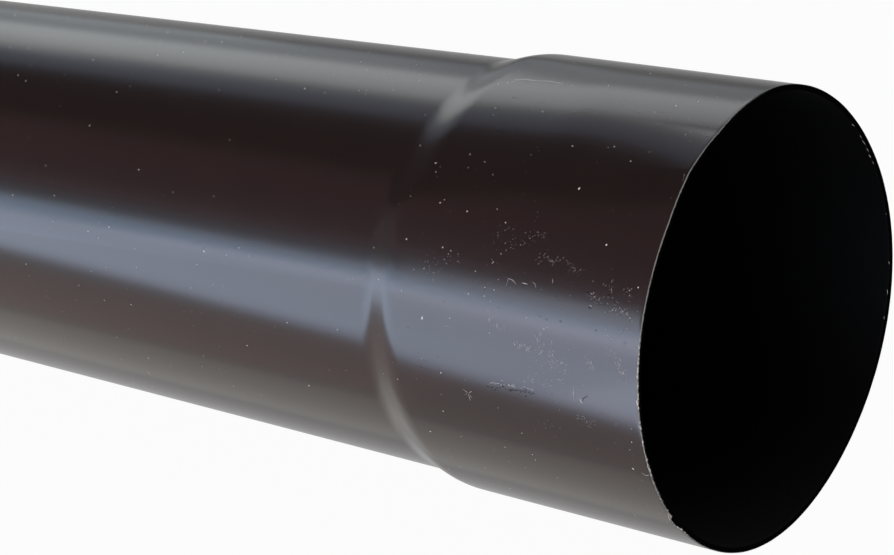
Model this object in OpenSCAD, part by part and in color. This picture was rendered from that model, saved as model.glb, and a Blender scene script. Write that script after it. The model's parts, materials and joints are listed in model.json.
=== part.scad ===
// Round rainwater downpipe with a socket drawn out of one end.
// One length of extruded PVC tube, lying along X with its socket mouth towards +X.
// The frame's origin is on the floor, under the middle of the pipe.

/* [Body] */
// Length from the plain end to the socket's mouth
pipe_length = 1000; // [250:10:4000]
// Outside diameter of the body
body_od = 100; // [60:1:160]
// Wall thickness of the body
body_wall = 1.5; // [1:0.1:4]

/* [Socket] */
// Depth of the socket's straight bore
socket_depth = 64; // [30:1:120]
// Clearance all round between the socket's bore and the next pipe's body
socket_gap = 1; // [0.2:0.1:2]
// Wall thickness of the socket, thinner than the body because it was drawn out hot
socket_wall = 1.4; // [0.9:0.1:4]
// Length of the flare between the body and the socket
flare_length = 12; // [6:1:40]

/* [Hidden] */
$fn = 128;
body_radius = body_od / 2;
body_bore_radius = body_radius - body_wall;
socket_bore_radius = body_radius + socket_gap;
socket_radius = socket_bore_radius + socket_wall;
// Stations along the axis, measured from the plain end
flare_start = pipe_length - socket_depth - flare_length;
flare_steps = 12;
flare_shares = [for (i = [0 : flare_steps]) i / flare_steps];

// Share of the flare's rise at a share of its length: level at both ends, steepest in the middle
function rise(share) = share * share * (3 - 2 * share);

// Points of a flare from one radius to another, as [radius, station]
function flare(from_radius, to_radius) = [
    for (share = flare_shares)
        [from_radius + (to_radius - from_radius) * rise(share), flare_start + flare_length * share]
];

function reversed(points) = [for (i = [len(points) - 1 : -1 : 0]) points[i]];

// Half section of the wall: out along the outside, back along the bore
module wall_section() {
    polygon(concat(
        [[body_radius, 0]],
        flare(body_radius, socket_radius),
        [[socket_radius, pipe_length], [socket_bore_radius, pipe_length]],
        reversed(flare(body_bore_radius, socket_bore_radius)),
        [[body_bore_radius, 0]]
    ));
}

// The pipe, turned about its axis and laid on the floor
module pipe() {
    color([0.16, 0.12, 0.12])
        translate([-pipe_length / 2, 0, socket_radius])
            rotate([0, 90, 0])
                rotate_extrude()
                    wall_section();
}

pipe();
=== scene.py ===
# A dark brown PVC downpipe lying on a pale studio floor, its socket towards us.
import json
import math
import random

import bpy
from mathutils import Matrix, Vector
from mathutils.bvhtree import BVHTree


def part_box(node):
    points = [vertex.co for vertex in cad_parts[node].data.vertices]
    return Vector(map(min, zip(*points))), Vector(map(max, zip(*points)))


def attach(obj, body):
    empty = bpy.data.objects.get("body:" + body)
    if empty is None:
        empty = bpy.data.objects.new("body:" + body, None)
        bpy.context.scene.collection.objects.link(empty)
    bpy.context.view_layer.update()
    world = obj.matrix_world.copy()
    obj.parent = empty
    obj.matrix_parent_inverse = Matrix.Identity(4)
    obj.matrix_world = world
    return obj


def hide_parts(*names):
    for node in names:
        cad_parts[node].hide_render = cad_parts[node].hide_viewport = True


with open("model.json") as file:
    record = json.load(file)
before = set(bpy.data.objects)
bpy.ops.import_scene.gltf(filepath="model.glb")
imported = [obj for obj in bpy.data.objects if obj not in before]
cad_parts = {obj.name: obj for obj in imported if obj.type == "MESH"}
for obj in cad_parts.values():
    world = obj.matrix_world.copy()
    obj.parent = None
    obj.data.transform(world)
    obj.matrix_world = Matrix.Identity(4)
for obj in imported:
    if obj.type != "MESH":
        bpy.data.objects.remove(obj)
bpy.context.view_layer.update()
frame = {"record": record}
print("frame loaded")

bpy.context.scene.view_settings.view_transform = "Standard"
mountOf = {mount["name"]: mount for mount in frame["record"]["mounts"]}


def boreRadius(mountName):
    return mountOf[mountName]["dims"]["r_mm"] / 1000


def mountLength(mountName):
    return mountOf[mountName]["dims"]["length_mm"] / 1000


# where the pipe lies and how it is cut, all from the frame, in metres
pipeLow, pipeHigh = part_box("pipe")
mouthX = pipeHigh[0]
plainX = pipeLow[0]
floorZ = pipeLow[2]
axisZ = (pipeLow[2] + pipeHigh[2]) / 2
bodyRadius = boreRadius("spigot")
bodyBore = boreRadius("waterway")
socketBore = boreRadius("socket")
dustRoom = 0.0001  # kept free for dust inside the box
socketRadius = (pipeHigh[1] - pipeLow[1]) / 2 - dustRoom
flareStart = plainX + mountLength("spigot")
flareEnd = mouthX - mountLength("socket")


class Wire:
    # one output socket of a node tree; sums written with it add Math nodes
    def __init__(self, tree, socket):
        self.tree = tree
        self.socket = socket

    @classmethod
    def make(cls, tree, nodeType, settings=None, inputs=None, output=0):
        node = tree.nodes.new(nodeType)
        for name, value in (settings or {}).items():
            setattr(node, name, value)
        for key, value in (inputs or {}).items():
            if isinstance(value, Wire):
                tree.links.new(value.socket, node.inputs[key])
            else:
                node.inputs[key].default_value = value
        return cls(tree, node.outputs[output])

    def output(self, name):
        return Wire(self.tree, self.socket.node.outputs[name])

    def math(self, operation, *others):
        settings = {"operation": operation}
        return Wire.make(self.tree, "ShaderNodeMath", settings, dict(enumerate((self,) + others)))

    def vectorMath(self, operation, *others):
        settings = {"operation": operation}
        return Wire.make(self.tree, "ShaderNodeVectorMath", settings, dict(enumerate((self,) + others)))

    def split(self):
        first = Wire.make(self.tree, "ShaderNodeSeparateXYZ", None, {0: self})
        return first, first.output("Y"), first.output("Z")

    def ramp(self, low, high):
        # 0 below low, 1 above high, smooth on the way
        settings = {"interpolation_type": "SMOOTHSTEP"}
        return Wire.make(self.tree, "ShaderNodeMapRange", settings, {0: self, 1: low, 2: high})

    def __add__(self, other):
        return self.math("ADD", other)

    def __radd__(self, other):
        return self.math("ADD", other)

    def __sub__(self, other):
        return self.math("SUBTRACT", other)

    def __rsub__(self, other):
        settings = {"operation": "SUBTRACT"}
        return Wire.make(self.tree, "ShaderNodeMath", settings, {0: other, 1: self})

    def __mul__(self, other):
        return self.math("MULTIPLY", other)

    def __rmul__(self, other):
        return self.math("MULTIPLY", other)

    def __truediv__(self, other):
        return self.math("DIVIDE", other)

    def __mod__(self, other):
        return self.math("MODULO", other)

    def __pow__(self, other):
        return self.math("POWER", other)

    def __gt__(self, other):
        return self.math("GREATER_THAN", other)

    def __lt__(self, other):
        return self.math("LESS_THAN", other)


def joined(x, y, z):
    tree = next(part.tree for part in (x, y, z) if isinstance(part, Wire))
    return Wire.make(tree, "ShaderNodeCombineXYZ", None, {0: x, 1: y, 2: z})


def blended(share, first, second):
    # first colour where share is 0, second where it is 1
    settings = {"data_type": "RGBA"}
    return Wire.make(share.tree, "ShaderNodeMix", settings, {0: share, 6: first, 7: second}, output=2)


def either(first, second):
    return first.math("MAXIMUM", second)


socketTypes = {int: "NodeSocketInt", float: "NodeSocketFloat"}


def newTree(name, values):
    # a geometry tree with one named input for each value
    tree = bpy.data.node_groups.new(name, "GeometryNodeTree")
    tree.interface.new_socket("Geometry", in_out="INPUT", socket_type="NodeSocketGeometry")
    tree.interface.new_socket("Geometry", in_out="OUTPUT", socket_type="NodeSocketGeometry")
    for label, value in values.items():
        tree.interface.new_socket(label, in_out="INPUT", socket_type=socketTypes[type(value)])
    source = tree.nodes.new("NodeGroupInput")
    return tree, {label: Wire(tree, source.outputs[label]) for label in ["Geometry", *values]}


def dressed(geometry, material, where=True):
    inputs = {"Geometry": geometry, "Selection": where, "Material": material}
    return Wire.make(geometry.tree, "GeometryNodeSetMaterial", None, inputs)


def closeTree(geometry, *finishes):
    # makes copies real and gives each part its finish
    geometry = Wire.make(geometry.tree, "GeometryNodeRealizeInstances", None, {0: geometry})
    for finish in finishes:
        geometry = dressed(geometry, *finish)
    geometry.tree.links.new(geometry.socket, geometry.tree.nodes.new("NodeGroupOutput").inputs[0])


def applied(piece, tree, values):
    # runs the tree on the piece and keeps the result as a plain mesh
    modifier = piece.modifiers.new(tree.name, "NODES")
    modifier.node_group = tree
    for item in tree.interface.items_tree:
        if item.item_type == "SOCKET" and item.in_out == "INPUT" and item.name in values:
            modifier[item.identifier] = values[item.name]
    graph = bpy.context.evaluated_depsgraph_get()
    mesh = bpy.data.meshes.new_from_object(piece.evaluated_get(graph), depsgraph=graph)
    piece.modifiers.remove(modifier)
    piece.data = mesh
    mesh.name = piece.name


def newPiece(name, points, edges=(), faces=()):
    mesh = bpy.data.meshes.new(name)
    mesh.from_pydata(points, edges, faces)
    piece = bpy.data.objects.new(name, mesh)
    bpy.context.scene.collection.objects.link(piece)
    return piece


def newMaterial(name):
    material = bpy.data.materials.new(name)
    material.use_nodes = True
    material.node_tree.nodes.clear()
    return material, material.node_tree


def finishMaterial(shader):
    shader.tree.links.new(shader.socket, shader.tree.nodes.new("ShaderNodeOutputMaterial").inputs[0])


def plastic(tree, inputs):
    return Wire.make(tree, "ShaderNodeBsdfPrincipled", None, inputs)


def bumped(height):
    # height is in millimetres
    inputs = {"Strength": 1.0, "Distance": 0.001, "Height": height}
    return Wire.make(height.tree, "ShaderNodeBump", None, inputs)


def noise(place, scale, detail=2.0, stretch=(1, 1, 1)):
    stretched = place.vectorMath("MULTIPLY", stretch)
    inputs = {"Vector": stretched, "Scale": scale, "Detail": detail}
    return Wire.make(place.tree, "ShaderNodeTexNoise", None, inputs)


def dots(place, scale, size):
    # round spots of mixed sizes, each 1 in its middle
    cells = Wire.make(place.tree, "ShaderNodeTexVoronoi", None, {"Vector": place, "Scale": scale})
    chance, _, _ = cells.output("Color").split()
    reach = size * scale * chance ** 3 + 1e-4  # never quite nothing, as it is divided by
    return (1 - cells / reach).math("MAXIMUM", 0.0)


def pipePlace(tree):
    # place round the axis in millimetres, distance in from the mouth, angle towards the front
    place = Wire.make(tree, "ShaderNodeTexCoord", output="Object")
    centred = place.vectorMath("SUBTRACT", (mouthX, 0, axisZ))
    inputs = {0: centred, "Scale": 1000}
    spot = Wire.make(tree, "ShaderNodeVectorMath", {"operation": "SCALE"}, inputs)
    x, y, z = spot.split()
    return spot, x * -1, (y * -1).math("ARCTAN2", z)


pvcLook = {
    "brown": (0.0160, 0.0090, 0.0084, 1),
    "brownDeep": (0.0116, 0.0070, 0.0066, 1),
    "mottle": 0.06,  # how fine the two browns are mixed
    "gloss": 0.20,  # roughness of clean plastic
    "glossSwing": 0.03,
    "ior": 1.51,
    "sheen": (1, 0.90, 0.88, 1),
    "drawn": (0.004, 1, 1),  # stretches a pattern along the pipe
    "lines": {"scale": 1.6, "high": 0.002},  # heights are in millimetres
    "skin": {"scale": 0.9, "high": 0.003},
    "pimples": {"scale": 0.55, "size": 0.55, "high": 0.008, "socketHigh": 0.02},
    "socketFade": (60, 80),  # millimetres in from the mouth
}
boreLook = {
    # these near-black browns are painted shade for the dark inside of the pipe, not the plastic's own
    # colour
    "brown": (0.0022, 0.0020, 0.0020, 1),
    "brownDeep": (0.0012, 0.0012, 0.0013, 1),
    "mottle": 0.08,
    "rough": 0.5,
    "roughSwing": 0.1,
    "gloss": 0.10,
    "lines": {"scale": 1.2, "high": 0.004},
}
# angles are degrees from the top to the front
cutLook = {
    # dark and brown across the cut are painted shade, far darker than the plastic's own brown; the burr
    # colours are the cut's own
    "dark": (0.0016, 0.0015, 0.0016, 1),
    "brown": (0.0030, 0.0028, 0.0028, 1),
    "burrGrey": (0.22, 0.215, 0.21, 1),
    "burrWhite": (0.60, 0.58, 0.55, 1),
    "rough": 0.7,
    "sawMarks": {"scale": 2.2, "stretch": (1, 0.25, 3), "high": 0.06},
    "edge": (0.02, 0.10),  # where the burr ends, in millimetres in from the skin
    "ragged": {"scale": 1.9, "middle": 0.3, "deep": 0.5},
    "front": (2, 24),  # the burr runs round the front,
    "back": {"turns": (-100, -86), "share": 0.4},  # fainter round the back,
    "spot": {"turn": -96, "halves": (16, 8)},  # shows once more here
    "torn": {"from": (80, 88), "to": (138, 146), "scale": 1.7, "patches": (0.48, 0.60), "deep": 0.14},
}


def brownPvc():
    material, tree = newMaterial("brownPvc")
    spot, inward, _ = pipePlace(tree)
    lines, skin, pimples = pvcLook["lines"], pvcLook["skin"], pvcLook["pimples"]
    drawLine = noise(spot, lines["scale"], 3, pvcLook["drawn"])
    mottle = noise(spot, pvcLook["mottle"], 3)
    grain = noise(spot, skin["scale"], 2)
    pimple = dots(spot, pimples["scale"], pimples["size"])
    onSocket = 1 - inward.ramp(*pvcLook["socketFade"])
    brown = blended(mottle, pvcLook["brownDeep"], pvcLook["brown"])
    rough = pvcLook["gloss"] + pvcLook["glossSwing"] * (drawLine - 0.5)
    pimpleHigh = onSocket * pimples["socketHigh"] + pimples["high"]
    height = drawLine * lines["high"] + grain * skin["high"] + pimple * pimpleHigh
    finishMaterial(plastic(tree, {
        "Base Color": brown, "Roughness": rough, "IOR": pvcLook["ior"],
        "Specular Tint": pvcLook["sheen"], "Normal": bumped(height),
    }))
    return material


def borePaintedShadePvc():
    # the inside is duller, with draw lines along it; its near-black colour is painted shade, far darker
    # than the plastic's own brown
    material, tree = newMaterial("borePaintedShadePvc")
    spot, _, _ = pipePlace(tree)
    lines = boreLook["lines"]
    mottle = noise(spot, boreLook["mottle"], 3)
    drawLine = noise(spot, lines["scale"], 3, pvcLook["drawn"])
    finishMaterial(plastic(tree, {
        "Base Color": blended(mottle, boreLook["brownDeep"], boreLook["brown"]),
        "Roughness": boreLook["rough"] + boreLook["roughSwing"] * drawLine,
        "Specular IOR Level": boreLook["gloss"],
        "Normal": bumped(drawLine * lines["high"]),
    }))
    return material


def sawnPvcPaintedShade():
    # painted shade across the cut, near black with saw marks, and a pale burr along its outer edge
    material, tree = newMaterial("sawnPvcPaintedShade")
    spot, _, angle = pipePlace(tree)
    depth = Wire.make(tree, "ShaderNodeAttribute", {"attribute_name": "depth"}, output="Fac")
    saw, ragged, tears = cutLook["sawMarks"], cutLook["ragged"], cutLook["torn"]
    back, again = cutLook["back"], cutLook["spot"]
    sawMarks = noise(spot, saw["scale"], 4, saw["stretch"])
    jagged = noise(spot, ragged["scale"], 4) - ragged["middle"]
    turned = angle * (180 / math.pi)
    inTorn = turned.ramp(*tears["from"]) * (1 - turned.ramp(*tears["to"]))
    torn = inTorn * noise(spot, tears["scale"], 3).ramp(*tears["patches"])
    atBack = (1 - turned.ramp(*back["turns"])) * back["share"]
    atSpot = (turned - again["turn"]).math("ABSOLUTE").ramp(*again["halves"])
    lined = turned.ramp(*cutLook["front"]) + atBack + atSpot
    inEdge = depth - ragged["deep"] * jagged - tears["deep"] * torn
    burr = (1 - inEdge.ramp(*cutLook["edge"])) * lined.math("MINIMUM", 1.0)
    # painted shade: the cut face is coloured near black
    dark = blended(sawMarks, cutLook["dark"], cutLook["brown"])
    pale = blended(torn, cutLook["burrGrey"], cutLook["burrWhite"])
    finishMaterial(plastic(tree, {
        "Base Color": blended(burr, dark, pale), "Roughness": cutLook["rough"],
        "Specular IOR Level": 0.0, "Normal": bumped(sawMarks * saw["high"]),
    }))
    return material


pipeMake = {
    "Around": 480,  # faces round the pipe
    "Mouth X": mouthX,
    "Plain X": plainX,
    "Axis Z": axisZ,
    "Socket radius": socketRadius,
    "Body radius": bodyRadius,
    "Set length": mouthX - flareEnd,  # how far in the mouth's own shape fades out
    "Set in": 0.00069,  # a drawn socket closes a little at its mouth
    "Mouth part": 0.25,  # nearer the mouth than this, depth is counted from the socket's skin
    "Cut wander": 0.00012,
    "Cut waves": 9.0,
    "Cut scale": 2.0,
    "Ends apart": 10.0,  # so that the two cuts wander differently
    "Cut reach": 0.004,  # how far in the cut's unevenness is felt
    "Cut band": 0.0012,  # faces this close to an end,
    "Cut facing": 0.2,  # and turned to it at least this much, are the cut
    "Nick turn": math.radians(-136),  # a rough nick low at the front of the mouth
    "Nick half": math.radians(3.4),
    "Nick depth": 0.0009,
    "Nick least": 0.55,  # share of the depth before the raggedness
    "Nick scale": 9.0,
    "Nick sides": 0.6,  # share of the half width that the sides slope over
    "Kink turn": math.radians(-42.5),  # a faint corner in the mouth
    "Kink size": 0.0009,
    "Kink half": math.radians(14),
    "Kink reach": 0.030,
    "Flare X": (flareStart + flareEnd) / 2,
    "Flare half": (flareEnd - flareStart) / 2,
    "Soft turn": math.radians(-33),  # round here the flare is drawn softer
    "Soft outer": 0.86,  # cosines of the turns from there where it begins and is full
    "Soft inner": 0.98,
    "Soft length": 0.93,  # share of the plain flare's length
    "Soft shift": 0.0009,  # towards the mouth
    "Soft dip": 0.0010,  # how much lower the skin still is where the socket starts
    "Dip reach": 0.028,  # how far beyond the flare the dip fades out
    "Firm length": 1.04,  # the same for the flare elsewhere
    "Firm shift": -0.0012,
    "Shift reach": 0.022,  # how far beyond the flare the shift fades out
    "Weld": 0.000001,
}
# how the mouth is out of round: lobes round it, their size in metres and where one points, in degrees
mouthLobes = {1: (0.00032, -175), 2: (0.00057, 50), 3: (0.00025, -23), 4: (0.00032, -2)}
# face lengths along the wall; flare is a count, end is next to the cuts, edge the round on the corners
wallSteps = {"body": 0.04, "bore": 0.08, "socket": 0.004, "flare": 18, "end": 0.001, "edge": 0.00020}


def spread(start, end, step):
    # stations from start up to but not including end
    count = max(1, round(abs(end - start) / step))
    return [start + (end - start) * i / count for i in range(count)]


def softRise(share):
    return share * share * (3 - 2 * share)


def coneRise(share, bend=0.34):
    # straight slope with a short bend at each end
    parts = [max(share - part, 0) ** 2 for part in (0, bend, 1 - bend)]
    return (parts[0] - parts[1] - parts[2]) / (2 * bend * (1 - bend))


def flareCurve(low, high):
    curve = []
    for i in range(wallSteps["flare"]):
        share = i / wallSteps["flare"]
        soft = softRise(share)
        x = flareStart + (flareEnd - flareStart) * share
        curve.append((x, low + (high - low) * soft, (high - low) * (coneRise(share) - soft)))
    return curve


def roundedEdge(x, radius, alongX, alongR):
    # a quarter circle over a corner; the signs say which way the wall lies from it
    edge = wallSteps["edge"]
    arc = [math.radians(a) for a in (0, 30, 60, 90)]
    return [
        (x + alongX * edge * (1 - math.sin(a)), radius + alongR * edge * (1 - math.cos(a)))
        for a in arc
    ]


def wallSection():
    # half section of the wall as (x, radius), out along the outside and back along the bore;
    # flare points add how much a straight-sided flare differs there
    step = wallSteps["end"]
    nearMouth = [mouthX - 2 * step, mouthX - step]
    nearPlain = [plainX + 2 * step, plainX + step]
    bodySteps = spread(nearPlain[0], flareStart, wallSteps["body"])
    socketSteps = spread(flareEnd, nearMouth[0], wallSteps["socket"]) + nearMouth
    boreSteps = spread(flareStart, nearPlain[0], wallSteps["bore"]) + nearPlain
    outside = [(x, bodyRadius) for x in bodySteps]
    outside += flareCurve(bodyRadius, socketRadius)
    outside += [(x, socketRadius) for x in socketSteps]
    mouth = roundedEdge(mouthX, socketRadius, -1, -1)
    mouth += [(mouthX, (socketRadius + socketBore) / 2)]
    mouth += roundedEdge(mouthX, socketBore, -1, 1)[::-1]
    bore = [(x, socketBore) for x in socketSteps[::-1]]
    bore += flareCurve(bodyBore, socketBore)[:0:-1]
    bore += [(x, bodyBore) for x in boreSteps]
    plain = roundedEdge(plainX, bodyBore, 1, 1)
    plain += [(plainX, (bodyRadius + bodyBore) / 2)]
    plain += roundedEdge(plainX, bodyRadius, 1, -1)[::-1]
    return outside + mouth + bore + plain + [(nearPlain[1], bodyRadius)]


def bump(angle, middle, half):
    # 1 at middle, falling straight to 0 on both sides; angles below 0 count back from a full turn
    return (1 - (angle - math.tau - middle).math("ABSOLUTE") / half).math("MAXIMUM", 0.0)


def wallTree(skin, bore, cut):
    # turns the section round the axis, with its own unevenness at the mouth and the flare
    tree, put = newTree("turnedWall", pipeMake)
    around = put["Around"] + 1
    count = Wire.make(tree, "GeometryNodeAttributeDomainSize", None, {"Geometry": put["Geometry"]})
    grid = Wire.make(tree, "GeometryNodeMeshGrid", None, {"Vertices X": count + 1, "Vertices Y": around})
    index = Wire.make(tree, "GeometryNodeInputIndex")
    row = (index / around).math("FLOOR")
    angle = (index - row * around) / put["Around"] * math.tau
    here = Wire.make(tree, "GeometryNodeInputPosition")
    section = Wire.make(
        tree, "GeometryNodeSampleIndex", {"data_type": "FLOAT_VECTOR"},
        {"Geometry": put["Geometry"], "Value": here, "Index": row % count},
    )
    x, cone, clean = section.split()
    inMouth = put["Mouth X"] - x
    wider = (put["Socket radius"] - put["Body radius"]) * (inMouth < put["Mouth part"])
    depth = (put["Body radius"] + wider - clean) * 1000
    fade = (1 - inMouth / put["Set length"]).math("MAXIMUM", 0.0)
    outOfRound = sum(
        size * (lobes * (angle - math.radians(turn))).math("COSINE")
        for lobes, (size, turn) in mouthLobes.items()
    )
    settled = (outOfRound - put["Set in"]).math("MINIMUM", 0.0)
    nearRim = (1 - inMouth / put["Kink reach"]).math("MAXIMUM", 0.0) ** 2
    kink = bump(angle, put["Kink turn"], put["Kink half"]) * put["Kink size"]
    soft = (angle - put["Soft turn"]).math("COSINE").ramp(put["Soft outer"], put["Soft inner"])
    fromFlare = x - put["Flare X"]
    inFlare = fromFlare.math("MINIMUM", put["Flare half"]).math("MAXIMUM", put["Flare half"] * -1)
    past = (fromFlare - inFlare).math("ABSOLUTE")
    widened = inFlare.ramp(put["Flare half"] * -1, put["Flare half"])
    dip = put["Soft dip"] * soft * widened * (1 - past / put["Dip reach"]).math("MAXIMUM", 0.0)
    radius = clean + fade * settled + nearRim * kink + cone * (1 - soft) - dip
    stretch = put["Firm length"] - 1 + (put["Soft length"] - put["Firm length"]) * soft
    shift = put["Firm shift"] + (put["Soft shift"] - put["Firm shift"]) * soft
    drift = (inFlare * stretch + shift) * (1 - past / put["Shift reach"]).math("MAXIMUM", 0.0)
    waves = put["Cut waves"]
    loop = joined(angle.math("COSINE") * waves, angle.math("SINE") * waves, x * put["Ends apart"])
    wander = noise(loop, put["Cut scale"], 4.0) * put["Cut wander"]
    atMouth = (1 - inMouth / put["Cut reach"]).math("MAXIMUM", 0.0)
    torn = (put["Nick least"] + noise(loop, put["Nick scale"], 2.0)) * put["Nick depth"]
    nick = bump(angle, put["Nick turn"], put["Nick half"]).ramp(0.0, put["Nick sides"]) * torn
    atPlain = (1 - (x - put["Plain X"]) / put["Cut reach"]).math("MAXIMUM", 0.0)
    place = joined(
        x + drift + (atPlain - atMouth) * wander - atMouth * nick,
        radius * angle.math("SINE"),
        radius * angle.math("COSINE") + put["Axis Z"],
    )
    turned = Wire.make(tree, "GeometryNodeSetPosition", None, {"Geometry": grid, "Position": place})
    marked = Wire.make(
        tree, "GeometryNodeStoreNamedAttribute", {"data_type": "FLOAT", "domain": "POINT"},
        {"Geometry": turned, "Name": "depth", "Value": depth},
    )
    weld = {"Geometry": marked, "Distance": put["Weld"]}
    closed = Wire.make(tree, "GeometryNodeMergeByDistance", None, weld)
    smooth = Wire.make(tree, "GeometryNodeSetShadeSmooth", None, {"Geometry": closed})
    faceX, faceY, faceZ = Wire.make(tree, "GeometryNodeInputPosition").split()
    normalX, normalY, normalZ = Wire.make(tree, "GeometryNodeInputNormal").split()
    inwards = (faceY * normalY + (faceZ - put["Axis Z"]) * normalZ) < 0.0
    band = put["Cut band"]
    nearEnd = ((put["Mouth X"] - faceX) < band) + ((faceX - put["Plain X"]) < band)
    onCut = nearEnd * (normalX.math("ABSOLUTE") > put["Cut facing"])
    closeTree(smooth, (skin,), (bore, inwards), (cut, onCut))
    return tree


def makePipe():
    # the section goes in as a line of points that stand for x, the flare's difference and radius
    section = [(x, cone[0] if cone else 0, radius) for x, radius, *cone in wallSection()]
    piece = newPiece("downpipe", section, [(i, i + 1) for i in range(len(section) - 1)])
    applied(piece, wallTree(brownPvc(), borePaintedShadePvc(), sawnPvcPaintedShade()), pipeMake)
    print("pipe turned,", len(piece.data.polygons), "faces")
    return piece


downpipe = makePipe()
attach(downpipe, "root")
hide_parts("pipe")


dustMake = {
    "Per square metre": 14000.0,
    "Least": 0.00005,
    "Most": 0.00022,
    "Thickness": 0.45,
    "Clump scale": 38.0,
    "Clump from": 0.42,
    "Clump to": 0.68,
    "Clump more": 1.7,
    "Between clumps": 0.3,
    "Socket start": flareStart,
    "Socket more": 0.7,
    "Axis Z": axisZ,
    "Lowest": -0.046,  # from the axis; no dust lies under this
    "Box radius": socketRadius - 2 * dustRoom,
    "Seed": 7,
}
dustLook = {"dull": (0.36, 0.34, 0.32, 1), "pale": (0.72, 0.70, 0.67, 1), "scale": 900, "rough": 0.85}


def dustMaterial():
    material, tree = newMaterial("paleDust")
    place = Wire.make(tree, "ShaderNodeTexCoord", output="Object")
    shade = blended(noise(place, dustLook["scale"], 1), dustLook["dull"], dustLook["pale"])
    finishMaterial(plastic(tree, {"Base Color": shade, "Roughness": dustLook["rough"]}))
    return material


def dustTree(dust):
    # flattened flecks strewn over the outside, none underneath
    tree, put = newTree("strewnDust", dustMake)
    x, y, z = Wire.make(tree, "GeometryNodeInputPosition").split()
    _, normalY, normalZ = Wire.make(tree, "GeometryNodeInputNormal").split()
    up = z - put["Axis Z"]
    outside = ((y * normalY + up * normalZ) > 0.0) * (up > put["Lowest"])
    clear = (y.math("ABSOLUTE") < put["Box radius"]) * (up < put["Box radius"])
    gathered = noise(joined(x, y, z), put["Clump scale"], 3).ramp(put["Clump from"], put["Clump to"])
    clumps = gathered * put["Clump more"] + put["Between clumps"]
    density = put["Per square metre"] * clumps * (1 + put["Socket more"] * (x > put["Socket start"]))
    spots = Wire.make(
        tree, "GeometryNodeDistributePointsOnFaces", None,
        {"Mesh": put["Geometry"], "Selection": outside * clear,
         "Density": density, "Seed": put["Seed"]},
    )
    chance = Wire.make(tree, "FunctionNodeRandomValue", None, {"Seed": put["Seed"]}, output=1)
    size = put["Least"] + (put["Most"] - put["Least"]) * chance ** 3
    ball = Wire.make(tree, "GeometryNodeMeshIcoSphere", None, {"Radius": 1.0, "Subdivisions": 1})
    flecks = Wire.make(
        tree, "GeometryNodeInstanceOnPoints", None,
        {"Points": spots, "Instance": ball, "Rotation": spots.output("Rotation"),
         "Scale": joined(size, size, size * put["Thickness"])},
    )
    closeTree(flecks, (dust,))
    return tree


def makeDust():
    piece = bpy.data.objects.new("dustFlecks", downpipe.data.copy())
    bpy.context.scene.collection.objects.link(piece)
    applied(piece, dustTree(dustMaterial()), dustMake)
    print("dust strewn,", len(piece.data.polygons), "faces")
    return piece


dustFlecks = makeDust()
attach(dustFlecks, "root")


# marks from handling; every place is (millimetres in from the mouth, degrees from the top to the front)
markLook = {
    "seed": 11,
    "lift": 0.03,  # millimetres proud of the plastic
    "sunk": 0.00003,  # metres its edges lie under the skin
    "tip": 0.35,  # how wide the ends of a stroke are, as a share of its middle
    "edgeGap": 0.0003,  # metres kept clear of the cut's edge
    "castFrom": 0.08,  # metres from the axis, well outside the pipe
    "degreesPerMm": 1.11,
    "chipLean": 80,  # degrees; chips lie along the edge
    "rough": 0.8,
    "gloss": 0.1,
    "pale": (0.55, 0.53, 0.51, 1),
    "white": (0.88, 0.87, 0.85, 1),
    "faint": (0.36, 0.355, 0.36, 1),
    "dull": (0.12, 0.105, 0.10, 1),
    "dark": (0.004, 0.003, 0.003, 1),
}
# how strokes scatter about a scuff's line
strewing = {
    "more": 1.5,  # strokes for each one counted
    "past": 0.15,  # beyond the line's ends, as a share of it
    "widths": (0.5, 0.8, 1.6),
    "along": 0.34,
    "across": 0.45,
    "longs": (0.25, 1.5),
    "leans": 32,
    "thicks": (0.45, 1.2),
    "nearest": 1.0,  # millimetres from the mouth
}
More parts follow.
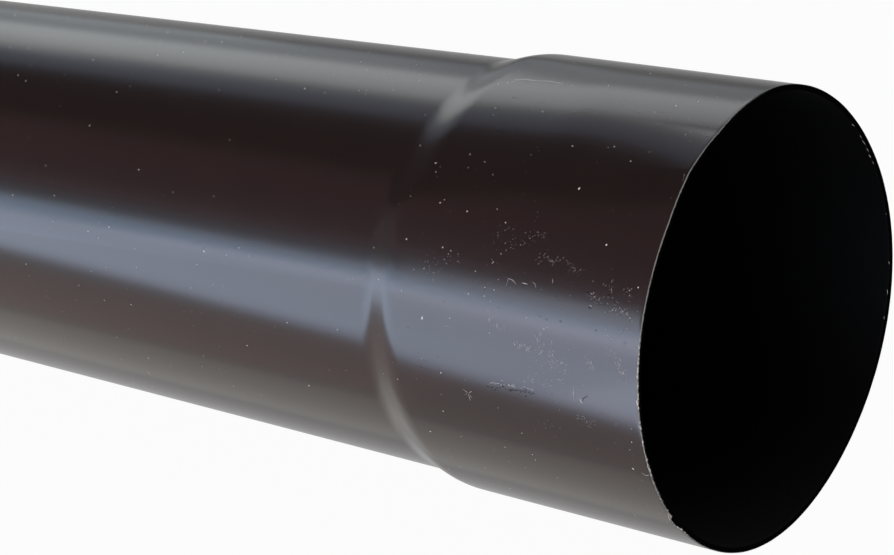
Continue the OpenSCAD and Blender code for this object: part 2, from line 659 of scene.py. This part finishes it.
# scuffs: the line they follow, width across it, how many, length, thickness, lean from the pipe's length
scuffs = [
    {
        "line": ((38.2, 86.2), (35.2, 87.3)), "width": 1.6, "count": 12, "long": 1.1,
        "thick": 0.16, "lean": 65, "tone": "pale", "other": "faint",
    },
    {
        "line": ((31.1, 90.1), (25.8, 90.8)), "width": 1.8, "count": 26, "long": 0.6,
        "thick": 0.16, "lean": 40, "tone": "pale", "other": "faint",
    },
    {
        "line": ((25.6, 88.4), (21.4, 93.6)), "width": 3.0, "count": 46, "long": 0.6,
        "thick": 0.16, "lean": 60, "tone": "pale", "other": "faint",
    },
    {
        "line": ((22.4, 91.9), (19.3, 92.5)), "width": 1.5, "count": 16, "long": 0.5,
        "thick": 0.15, "lean": 50, "tone": "pale", "other": "faint",
    },
    {
        "line": ((29.0, 98.3), (20.8, 97.6)), "width": 2.5, "count": 16, "long": 0.9,
        "thick": 0.13, "lean": 10, "tone": "pale", "other": "faint",
    },
    {
        "line": ((6.3, 87.6), (3.9, 92.5)), "width": 1.8, "count": 26, "long": 0.7,
        "thick": 0.16, "lean": 80, "tone": "pale", "other": "faint",
    },
    {
        "line": ((12.9, 90.8), (11.2, 91.8)), "width": 1.4, "count": 14, "long": 0.5,
        "thick": 0.15, "lean": 60, "tone": "pale", "other": "faint",
    },
    {
        "line": ((3.5, 81.0), (7.4, 86.2)), "width": 1.5, "count": 10, "long": 0.6,
        "thick": 0.15, "lean": 70, "tone": "faint", "other": "dull",
    },
    {
        "line": ((12.6, 76.3), (4.0, 78.2)), "width": 1.8, "count": 44, "long": 0.3,
        "thick": 0.2, "lean": 45, "tone": "pale", "other": "faint",
    },
    {
        "line": ((9.8, 73.5), (4.4, 73.4)), "width": 1.6, "count": 18, "long": 0.3,
        "thick": 0.18, "lean": 45, "tone": "pale", "other": "faint",
    },
    {
        "line": ((20.5, 69.9), (17.6, 71.1)), "width": 1.5, "count": 22, "long": 0.35,
        "thick": 0.2, "lean": 45, "tone": "dull", "other": "faint",
    },
    {
        "line": ((27.9, 69.2), (23.4, 69.4)), "width": 1.2, "count": 28, "long": 0.35,
        "thick": 0.2, "lean": 45, "tone": "faint", "other": "dull",
    },
    {
        "line": ((39.6, 67.1), (27.7, 63.4)), "width": 4.0, "count": 44, "long": 0.3,
        "thick": 0.18, "lean": 45, "tone": "faint", "other": "dull",
    },
    {
        "line": ((58.0, 76.0), (50.0, 74.0)), "width": 2.5, "count": 26, "long": 0.3,
        "thick": 0.18, "lean": 45, "tone": "faint", "other": "dull",
    },
    {
        "line": ((38.2, 102.3), (28.5, 101.7)), "width": 0.7, "count": 40, "long": 0.6,
        "thick": 0.30, "lean": 20, "tone": "dark", "other": "dark",
    },
    {
        "line": ((38.2, 101.3), (28.5, 100.7)), "width": 0.6, "count": 34, "long": 0.4,
        "thick": 0.22, "lean": 20, "tone": "pale", "other": "faint",
    },
    {
        "line": ((58.0, 101.4), (52.4, 101.9)), "width": 1.2, "count": 14, "long": 0.3,
        "thick": 0.18, "lean": 45, "tone": "dark", "other": "dark",
    },
    {
        "line": ((15.9, 105.5), (12.2, 106.2)), "width": 1.6, "count": 26, "long": 0.35,
        "thick": 0.2, "lean": 45, "tone": "faint", "other": "dull",
    },
    {
        "line": ((27.6, 109.4), (22.3, 109.2)), "width": 1.0, "count": 9, "long": 0.3,
        "thick": 0.18, "lean": 45, "tone": "faint", "other": "dull",
    },
    {
        "line": ((130, 100), (90, 96)), "width": 12, "count": 14, "long": 0.4,
        "thick": 0.15, "lean": 45, "tone": "faint", "other": "dull",
    },
]
# single scratches, each a path over the skin
scratches = [
    {"path": ((35.2, 77.3), (34.9, 75.4), (33.8, 75.6), (32.7, 76.4)), "thick": 0.20, "tone": "pale"},
    {"path": ((31.3, 75.8), (29.8, 75.9)), "thick": 0.28, "tone": "pale"},
    {"path": ((28.7, 75.1), (27.9, 75.5), (27.5, 76.4)), "thick": 0.2, "tone": "pale"},
    {"path": ((23.7, 73.6), (23.5, 74.6)), "thick": 0.2, "tone": "pale"},
    {"path": ((51.5, 89.5), (48.7, 89.3)), "thick": 0.15, "tone": "faint"},
    {"path": ((16.4, 97.3), (16.7, 101.4)), "thick": 0.2, "tone": "pale"},
    {"path": ((15.0, 100.4), (14.5, 101.4)), "thick": 0.45, "tone": "pale"},
    {"path": ((14.4, 101.0), (14.0, 100.0), (12.7, 99.2)), "thick": 0.35, "tone": "dark"},
    {"path": ((13.7, 78.5), (12.9, 78.7)), "thick": 0.45, "tone": "dark"},
    {"path": ((13.5, 78.0), (12.9, 78.1)), "thick": 0.22, "tone": "pale"},
    {"path": ((47.0, 104.8), (45.7, 105.7)), "thick": 0.2, "tone": "pale"},
    {"path": ((45.5, 107.7), (45.7, 105.7)), "thick": 0.2, "tone": "pale"},
    {"path": ((44.5, 104.9), (45.7, 105.7)), "thick": 0.2, "tone": "pale"},
    {"path": ((44.8, 106.8), (45.7, 105.7)), "thick": 0.16, "tone": "pale"},
    {"path": ((46.8, 106.3), (45.7, 105.7)), "thick": 0.16, "tone": "faint"},
    {"path": ((46.1, 105.9), (45.4, 105.6)), "thick": 0.4, "tone": "dark"},
    {"path": ((2.4, 117.4), (1.7, 117.9), (1.1, 117.9), (0.6, 117.3)), "thick": 0.16, "tone": "pale"},
    {
        "path": ((60.4, 19.7), (60.1, 17.9), (58, 17.1), (55.7, 17.3), (51, 16.9), (47.2, 17.4)),
        "thick": 0.22, "tone": "pale",
    },
    {"path": ((55.8, 26.0), (54.8, 26.1)), "thick": 0.25, "tone": "dark"},
    {"path": ((2.2, 41.5), (1.0, 43.5), (0.6, 45.5)), "thick": 0.18, "tone": "faint"},
    {"path": ((0.3, 97.5), (0.3, 99.0)), "thick": 0.6, "tone": "pale"},
    {"path": ((0.3, 131.0), (0.9, 133.0), (1.2, 134.6)), "thick": 0.4, "tone": "pale"},
]
# bright specks of swarf and dark pits: place and size
specks = [
    (57.1, 88.7, 0.6, "white"), (40.7, 78.5, 0.35, "pale"), (43.8, 75.2, 0.4, "pale"),
    (52.6, 73.8, 0.3, "pale"), (57.7, 76.8, 0.35, "pale"), (12.8, 63.6, 0.5, "white"),
    (24.3, 51.1, 0.7, "white"), (4.4, 116.8, 0.55, "white"), (127, 83.7, 0.6, "white"),
    (71, 81.7, 0.45, "pale"), (13.5, 75.3, 0.4, "pale"), (51, 48, 0.4, "pale"),
    (66, 106.4, 0.4, "pale"), (22.6, 38.7, 0.35, "pale"), (60.5, 77.5, 0.3, "faint"),
    (61.1, 91.7, 0.35, "dark"), (3.1, 79.9, 0.35, "dark"), (52.9, 97.5, 0.3, "dark"),
    (22.3, 100.7, 0.3, "dark"), (0.3, 85, 0.35, "pale"), (0.3, 104, 0.4, "pale"),
    (0.3, 109, 0.3, "pale"), (0.3, 115, 0.35, "pale"), (0.3, 92, 0.3, "pale"),
]
# chips along the inner edge of the mouth: place, length and width
chips = [
    (0.5, -39, 1.0, 0.45), (0.4, -44.5, 1.0, 0.3), (0.5, -47, 1.6, 0.4), (0.5, -50, 1.3, 0.25),
    (0.6, -52.5, 1.0, 0.45), (0.4, -55, 0.8, 0.2), (0.4, -72, 0.5, 0.2), (0.4, -86, 0.6, 0.3),
    (0.4, -94, 1.4, 0.2), (0.4, -101, 0.8, 0.2),
]


def skinPoint(surface, inward, degrees, inner=False):
    # point and normal on the outside, or on the bore, of the finished pipe
    turn = math.radians(degrees)
    radial = Vector((0, -math.sin(turn), math.cos(turn)))
    edgeX = surface["edges"][round(degrees) % 360] - markLook["edgeGap"]
    axisPoint = Vector((min(mouthX - inward / 1000, edgeX), 0, axisZ))
    if inner:
        return surface["skin"].ray_cast(axisPoint, radial)[0], -radial
    return surface["skin"].ray_cast(axisPoint + radial * markLook["castFrom"], -radial)[0], radial


def addStroke(marks, surface, path, thick, tone, inner=False):
    # a low ridge along the path, narrow at both ends
    spots = [skinPoint(surface, *place, inner) for place in path]
    last = len(spots) - 1
    first = len(marks["points"])
    for i, (point, normal) in enumerate(spots):
        ahead = spots[min(i + 1, last)][0] - spots[max(i - 1, 0)][0]
        half = thick / 2000 * (1 if 0 < i < last else markLook["tip"])
        side = normal.cross(ahead).normalized() * half
        under = normal * markLook["sunk"]
        crest = point + normal * markLook["lift"] / 1000
        marks["points"] += [point + side - under, crest, point - side - under]
    faces = [(first, first + 2, first + 1)]
    for i in range(last):
        a = first + 3 * i
        faces += [(a, a + 1, a + 4, a + 3), (a + 1, a + 2, a + 5, a + 4), (a + 2, a, a + 3, a + 5)]
    end = first + 3 * last
    faces.append((end, end + 1, end + 2))
    marks["faces"] += faces
    marks["tones"] += [tone] * len(faces)


def shortPath(inward, degrees, long, lean):
    # a straight path of three places about a middle
    along = math.cos(math.radians(lean)) * long / 2
    across = math.sin(math.radians(lean)) * long / 2 * markLook["degreesPerMm"]
    return [(inward + along * k, degrees + across * k) for k in (-1, 0, 1)]


def strewScuff(marks, surface, scuff, dice):
    # strokes gather along the line, with a few strays and some fainter than the rest
    (inA, degA), (inB, degB) = scuff["line"]
    for _ in range(round(scuff["count"] * strewing["more"])):
        share = dice.uniform(-strewing["past"], 1 + strewing["past"])
        wide = scuff["width"] * dice.choice(strewing["widths"])
        inward = inA + (inB - inA) * share + dice.gauss(0, strewing["along"]) * wide
        degrees = degA + (degB - degA) * share + dice.gauss(0, strewing["across"]) * wide
        long = scuff["long"] * dice.uniform(*strewing["longs"])
        lean = scuff["lean"] + dice.gauss(0, strewing["leans"])
        path = shortPath(max(inward, strewing["nearest"]), degrees, long, lean)
        tone = dice.choice((scuff["tone"], scuff["tone"], scuff["other"]))
        addStroke(marks, surface, path, scuff["thick"] * dice.uniform(*strewing["thicks"]), tone)


def markMaterial(tone):
    material, tree = newMaterial(tone + "Mark")
    finishMaterial(plastic(tree, {
        "Base Color": markLook[tone], "Roughness": markLook["rough"],
        "Specular IOR Level": markLook["gloss"],
    }))
    return material


def surfaceOf(mesh):
    # the skin to cast onto, and how far the mouth reaches at each degree from the top to the front
    edges = [0] * 360
    for vertex in mesh.vertices:
        x, y, z = vertex.co
        degree = round(math.degrees(math.atan2(-y, z - axisZ))) % 360
        edges[degree] = max(edges[degree], x)
    polygons = [polygon.vertices for polygon in mesh.polygons]
    return {"skin": BVHTree.FromPolygons([v.co for v in mesh.vertices], polygons), "edges": edges}


def makeMarks():
    surface = surfaceOf(downpipe.data)
    marks = {"points": [], "faces": [], "tones": []}
    dice = random.Random(markLook["seed"])
    for scuff in scuffs:
        strewScuff(marks, surface, scuff, dice)
    for scratch in scratches:
        path = scratch["path"]
        if len(path) == 2:
            middle = tuple((a + b) / 2 for a, b in zip(*path))
            path = (path[0], middle, path[1])
        addStroke(marks, surface, path, scratch["thick"], scratch["tone"])
    for inward, degrees, size, tone in specks:
        path = shortPath(inward, degrees, size, dice.uniform(0, 180))
        addStroke(marks, surface, path, size, tone)
    for inward, degrees, long, thick in chips:
        path = shortPath(inward, degrees, long, markLook["chipLean"])
        addStroke(marks, surface, path, thick, "white", True)
    piece = newPiece("scuffMarks", marks["points"], (), marks["faces"])
    tones = sorted(set(marks["tones"]))
    for tone in tones:
        piece.data.materials.append(markMaterial(tone))
    for face, tone in zip(piece.data.polygons, marks["tones"]):
        face.material_index = tones.index(tone)
    print("marks made,", len(piece.data.polygons), "faces")
    return piece


scuffMarks = makeMarks()
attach(scuffMarks, "root")


studio = {
    "floorReach": 7.0,  # radius of the flat floor
    "floorRings": (0.5, 2.0),  # radii of the rings inside it
    "coveRadius": 0.8,
    "wallTop": 2.0,
    "turns": 96,  # faces round it
    "paper": (0.86, 0.86, 0.86, 1),
    "floorWhite": 0.96,  # how much of the floor shows as plain white
    "wallWhite": 0.18,
    "whiteFade": 0.5,  # height at which the wall's share is reached
    "glossShare": 0.627,  # how much of that the plastic mirrors
}


def paperMaterial():
    # white paper floor that turns to plain paper as it curves up
    material, tree = newMaterial("paper")
    path = Wire.make(tree, "ShaderNodeLightPath")
    mirrored = either(path.output("Is Glossy Ray"), path.output("Is Transmission Ray"))
    seen = either(path, mirrored * studio["glossShare"])
    _, _, height = Wire.make(tree, "ShaderNodeTexCoord", output="Object").split()
    risen = height.ramp(0.0, studio["whiteFade"])
    white = studio["floorWhite"] + (studio["wallWhite"] - studio["floorWhite"]) * risen
    lit = Wire.make(tree, "ShaderNodeBsdfDiffuse", None, {"Color": studio["paper"]})
    plain = Wire.make(tree, "ShaderNodeEmission", None, {"Strength": 1.0})
    finishMaterial(Wire.make(tree, "ShaderNodeMixShader", None, {0: seen * white, 1: lit, 2: plain}))
    return material


def makeStudio():
    # floor, cove and wall in one sweep round the pipe
    reach, cove = studio["floorReach"], studio["coveRadius"]
    quarter = [math.radians(a) for a in range(0, 91, 10)]
    outline = [(ring, 0.0) for ring in studio["floorRings"]]
    outline += [(reach + cove * math.sin(a), cove * (1 - math.cos(a))) for a in quarter]
    outline += [(reach + cove, studio["wallTop"])]
    turns = studio["turns"]
    points = [
        (r * math.cos(math.tau * i / turns), r * math.sin(math.tau * i / turns), z + floorZ)
        for r, z in outline for i in range(turns)
    ]
    points.append((0, 0, floorZ))
    faces = [(len(points) - 1, i, (i + 1) % turns) for i in range(turns)]
    for ring in range(len(outline) - 1):
        for i in range(turns):
            j = (i + 1) % turns
            a, b = ring * turns, (ring + 1) * turns
            faces.append((a + i, b + i, b + j, a + j))
    floor = newPiece("studioFloor", points, (), faces)
    floor.data.shade_smooth()
    floor.data.materials.append(paperMaterial())
    print("studio made")


makeStudio()

# long boxes beside the pipe, which show in it as bands and light nothing else;
# angles lean from straight up to the front
sideBoxes = {
    "rearBox": {
        "colour": (0.93, 1, 1), "bright": 1.16,
        "angles": (-42.8, -18.5), "away": 1.6, "ends": (-1.85, 2.0),
    },
    "rearEnd": {
        "colour": (0.93, 1, 1), "bright": 0.70,
        "angles": (-20, -15.5), "away": 1.6, "ends": (-2.0, -1.5),
    },
    "rearFill": {
        "colour": (0.80, 0.90, 1), "bright": 0.42,
        "angles": (-62, -14), "away": 1.8, "ends": (-2.1, 2.0),
    },
    "rearLeft": {
        "colour": (0.95, 1, 1), "bright": 0.15,
        "angles": (-60, -46), "away": 1.9, "ends": (-2.3, -1.15),
    },
    "rearNear": {
        "colour": (1, 0.97, 0.93), "bright": 0.13,
        "angles": (-64, -44), "away": 1.9, "ends": (-1.02, 2.0),
    },
    "rearLow": {
        "colour": (1, 1, 1), "bright": 0.18,
        "angles": (-88, -65), "away": 1.9, "ends": (-2.3, 2.0),
    },
    "rearLine": {
        "colour": (0.93, 1, 1), "bright": 0.35,
        "angles": (-63.5, -57.5), "away": 1.7, "ends": (-2.1, -1.25),
    },
    "topFill": {
        "colour": (0.59, 0.76, 1), "bright": 0.50,
        "angles": (-15, -2), "away": 2.0, "ends": (-2.7, 1.5),
    },
    "frontHaze": {
        "colour": (1, 0.52, 0.64), "bright": 0.15,
        "angles": (35, 77), "away": 2.4, "ends": (-6.5, 1.5),
    },
    "frontLow": {
        "colour": (0.4, 0.8, 1), "bright": 0.11,
        "angles": (77, 88), "away": 2.5, "ends": (-6.5, 1.0),
    },
    "socketLow": {
        "colour": (0.68, 0.82, 1), "bright": 4.2,
        "angles": (81.0, 83.4), "away": 1.6, "ends": (-0.72, -0.3),
    },
    "socketHigh": {
        "colour": (0.68, 0.82, 1), "bright": 3.2,
        "angles": (78.6, 81.0), "away": 1.6, "ends": (-0.59, -0.3),
    },
}
# the plain light that colours are seen by; it doesn't show in the plastic
softLight = {"colour": (1, 1, 1), "bright": 5.0, "angles": (66, 91), "away": 2.0, "ends": (-1.2, 1.3)}
# a plain box high up, beyond the mouth and behind
keyBox = {
    "colour": (1, 1, 1), "bright": 1.6, "at": Vector((1.7, 1.2, 2.0)), "size": (2, 2), "turn": (-38, -55),
}
airLight = (0.05, 0.05, 0.05, 1)
# sheets of light in front, rising gently from a line that runs in towards the socket;
# they show in the plastic only
frontSheets = {
    "nearSheet": {"colour": (0.56, 0.74, 1), "bright": 3.3, "out": (0.004, 0.20), "ends": (-1.0, 0.12)},
    "midSheet": {"colour": (0.30, 0.62, 1), "bright": 2.5, "out": (0.20, 0.48), "ends": (-1.3, 0.12)},
    "lastSheet": {"colour": (0.68, 0.84, 1), "bright": 3.6, "out": (0.48, 0.70), "ends": (-1.7, 0.12)},
    "nearCore": {"colour": (0.46, 0.68, 1), "bright": 3.3, "out": (0.004, 0.16), "ends": (-0.45, 0.12)},
    "farCore": {"colour": (0.74, 0.82, 1), "bright": 4.2, "out": (0.16, 0.48), "ends": (-0.45, 0.12)},
    "socketCore": {"colour": (0.75, 0.76, 1), "bright": 1.4, "out": (0.04, 0.48), "ends": (-0.19, 0.12)},
    "mouthCore": {"colour": (0.80, 0.83, 1), "bright": 1.1, "out": (0.004, 0.07), "ends": (0.004, 0.12)},
    "nearEdge": {"colour": (0.50, 0.70, 1), "bright": 1.8, "out": (-0.002, 0.004), "ends": (-0.45, 0.12)},
}
# how the sheets lie, in degrees, and the near end of their lowest line
sheetLie = {"slope": 11.5, "turn": 9.7, "near": Vector((mouthX - 0.07, -0.092, floorZ + 0.002))}
# strips of light on the floor close to the pipe, which show in the plastic only:
# how far out in front they lie, and their ends from the mouth
stripLift = 0.001  # above the floor
floorStrips = {
    "paleStrip": {"colour": (1, 0.97, 0.85), "bright": 0.24, "out": (0.030, 0.052), "ends": (-1.3, 0)},
    "warmStrip": {"colour": (1, 0.33, 0.22), "bright": 0.14, "out": (0.055, 0.10), "ends": (-0.59, -0.09)},
    "warmNear": {"colour": (1, 0.33, 0.22), "bright": 0.07, "out": (0.055, 0.10), "ends": (-0.09, 0.05)},
}


def softbox(name, look, centre, size, turn):
    # a rectangular lamp of even brightness; turn is its tilt about X, then about Z
    data = bpy.data.lights.new(name, "AREA")
    data.shape = "RECTANGLE"
    data.size, data.size_y = size
    data.color = look["colour"]
    data.energy = 4 * look["bright"] * size[0] * size[1]  # watts that give this brightness
    lamp = bpy.data.objects.new(name, data)
    lamp.location = centre
    lamp.rotation_euler = (math.radians(turn[0]), 0, math.radians(turn[1]))
    lamp.visible_camera = False
    bpy.context.scene.collection.objects.link(lamp)
    return lamp


def hangSideBox(name, look):
    middle = math.radians(sum(look["angles"]) / 2)
    half = math.radians(abs(look["angles"][1] - look["angles"][0]) / 2)
    left, right = look["ends"]
    out, up = -math.sin(middle) * look["away"], math.cos(middle) * look["away"]
    centre = Vector(((left + right) / 2, out, axisZ + up))
    size = (right - left, 2 * look["away"] * math.tan(half))
    return softbox(name, look, centre, size, (math.degrees(middle), 0))


def layFrontSheet(name, look):
    slope, turn = math.radians(sheetLie["slope"]), math.radians(sheetLie["turn"])
    along = Vector((math.cos(turn), math.sin(turn), 0))
    outward = Vector((math.sin(turn), -math.cos(turn), 0)) * math.cos(slope)
    outward += Vector((0, 0, math.sin(slope)))
    left, right = look["ends"]
    low, high = look["out"]
    centre = sheetLie["near"] + along * (left + right) / 2 + outward * (low + high) / 2
    turned = (180 - sheetLie["slope"], sheetLie["turn"])
    softbox(name, look, centre, (right - left, high - low), turned).visible_diffuse = False


def layFloorStrip(name, look):
    left, right = look["ends"]
    near, far = look["out"]
    centre = Vector((mouthX + (left + right) / 2, -(near + far) / 2, floorZ + stripLift))
    softbox(name, look, centre, (right - left, far - near), (180, 0)).visible_diffuse = False


def makeLights():
    for name, look in sideBoxes.items():
        hangSideBox(name, look).visible_diffuse = False
    for name, look in frontSheets.items():
        layFrontSheet(name, look)
    hangSideBox("softLight", softLight).visible_glossy = False
    for name, look in floorStrips.items():
        layFloorStrip(name, look)
    softbox("keyBox", keyBox, keyBox["at"], keyBox["size"], keyBox["turn"])
    world = bpy.data.worlds.new("studioAir")
    bpy.context.scene.world = world
    world.use_nodes = True
    world.node_tree.nodes["Background"].inputs["Color"].default_value = airLight


makeLights()

cameraPlace = {
    "fromMouth": Vector((0.2576, -0.4221, 0.1263)),
    "turn": 39.75,  # degrees round from looking along +Y
    "down": 13.44,
    "lens": 92.83,
    "clip": (0.01, 50),
}


def makeCamera():
    data = bpy.data.cameras.new("camera")
    data.lens = cameraPlace["lens"]
    data.clip_start, data.clip_end = cameraPlace["clip"]
    camera = bpy.data.objects.new("camera", data)
    camera.location = Vector((mouthX, 0, axisZ)) + cameraPlace["fromMouth"]
    camera.rotation_euler = (math.radians(90 - cameraPlace["down"]), 0, math.radians(cameraPlace["turn"]))
    bpy.context.scene.collection.objects.link(camera)
    bpy.context.scene.camera = camera


makeCamera()
print("lights and camera set")
